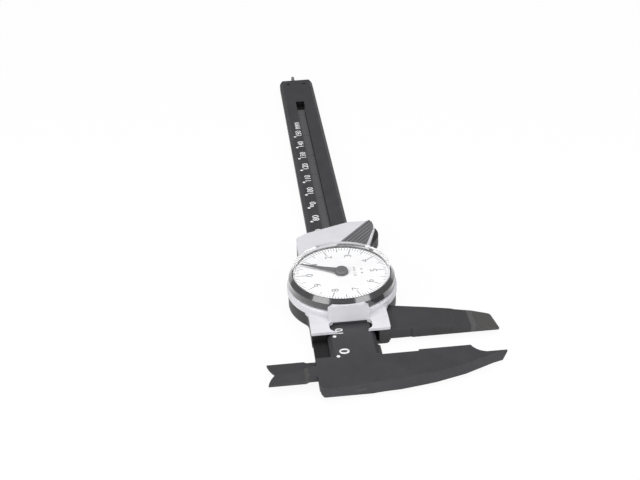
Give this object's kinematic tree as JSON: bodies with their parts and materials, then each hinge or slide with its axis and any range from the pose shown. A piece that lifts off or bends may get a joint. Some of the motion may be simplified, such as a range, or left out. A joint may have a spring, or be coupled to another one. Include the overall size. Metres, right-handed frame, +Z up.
{
  "type": "dial caliper",
  "caption": "Dial caliper with outside jaws, crossed inside blades, depth rod, sliding dial head and turning bezel.",
  "frame": {"origin": "back face of the fixed head, on the beam's centre line, in the plane of the fixed outside measuring face", "axes": "+X along the beam from the fixed jaw to the depth rod's end, +Y towards the inside blades, +Z up through the dial"},
  "size_m": [0.2341, 0.0721, 0.0147],
  "materials": {
    "charcoal_plastic": "satin, fibre filled",
    "grey_plastic": "satin",
    "mid_grey_plastic": "satin",
    "bezel_plastic": "gloss",
    "black_plastic": "matt",
    "dial_white": "matt, printed",
    "clear_plastic": "clear, polished",
    "needle_paint": "matt",
    "steel": "brushed",
    "brass": "turned",
    "aluminium": "satin"
  },
  "bodies": {
    "beam": {"main_beam": "charcoal_plastic", "rack_strip": "brass", "end_stop": "charcoal_plastic"},
    "slider": {"slider_frame": "charcoal_plastic", "back_plate": "charcoal_plastic", "back_plate_screws": "steel", "gib_strip": "black_plastic", "gib_spring": "steel", "depth_rod": "mid_grey_plastic", "rod_screws": "steel", "top_cover": "grey_plastic", "cover_screws": "steel", "thumb_grip": "mid_grey_plastic", "movement_base": "black_plastic", "movement_screws": "steel", "lower_bush": "brass", "upper_bush": "brass", "movement_bridge": "aluminium", "bridge_posts": "brass", "bridge_screws": "steel", "bezel_spring": "steel", "bezel_wire": "steel"},
    "pointer": {"pointer_arbor": "steel", "drive_pinion": "brass", "take_up_pinion": "brass", "take_up_spring": "steel", "spring_carrier": "brass", "needle": "needle_paint", "needle_hub": "needle_paint"},
    "bezel": {"bezel_ring": "bezel_plastic", "dial_plate": "dial_white", "crystal": "clear_plastic"}
  },
  "joints": [
    {"name": "slider_slide", "type": "slide", "parent": "beam", "child": "slider", "axis": [1, 0, 0], "range_m": [-0.0107, 0.1393]},
    {"name": "pointer_spin", "type": "hinge", "parent": "slider", "child": "pointer", "pos_m": [0.0341, 0, 0.006], "axis": [0, 0, 1], "range_deg": [-5016, 386]},
    {"name": "bezel_turn", "type": "hinge", "parent": "slider", "child": "bezel", "pos_m": [0.0341, 0, 0.009], "axis": [0, 0, 1], "continuous": true}
  ],
  "couplings": [
    {"joint": "pointer_spin", "follows": "slider_slide", "rad_per_m": -628.32}
  ]
}
